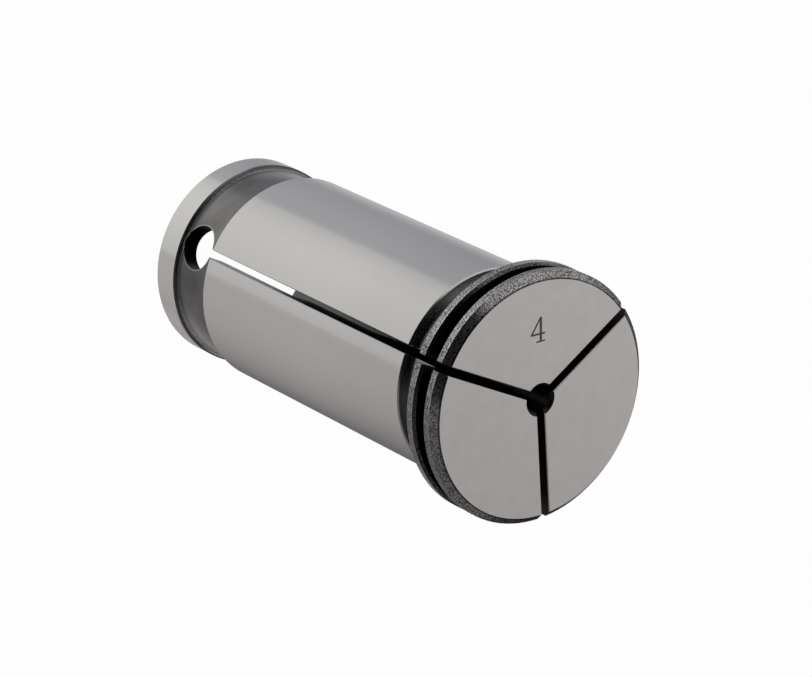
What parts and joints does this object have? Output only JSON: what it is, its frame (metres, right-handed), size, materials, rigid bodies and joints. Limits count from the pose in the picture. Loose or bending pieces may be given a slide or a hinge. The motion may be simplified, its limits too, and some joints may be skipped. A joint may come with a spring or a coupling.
{
  "type": "milling chuck collet",
  "caption": "Straight slit steel sleeve with a grooved flange and a central bore, which a milling chuck squeezes to grip a thin cutter shank.",
  "frame": {"origin": "centre of the tail end face, which the collet stands on", "axes": "+Z along the bore axis from the tail end to the nose face; the first slit opens towards -Y"},
  "size_m": [0.0374, 0.0374, 0.0754],
  "materials": {
    "ground_steel": "ground satin, with dark unground reliefs"
  },
  "bodies": {
    "root": {"collet": "ground_steel"}
  },
  "joints": []
}
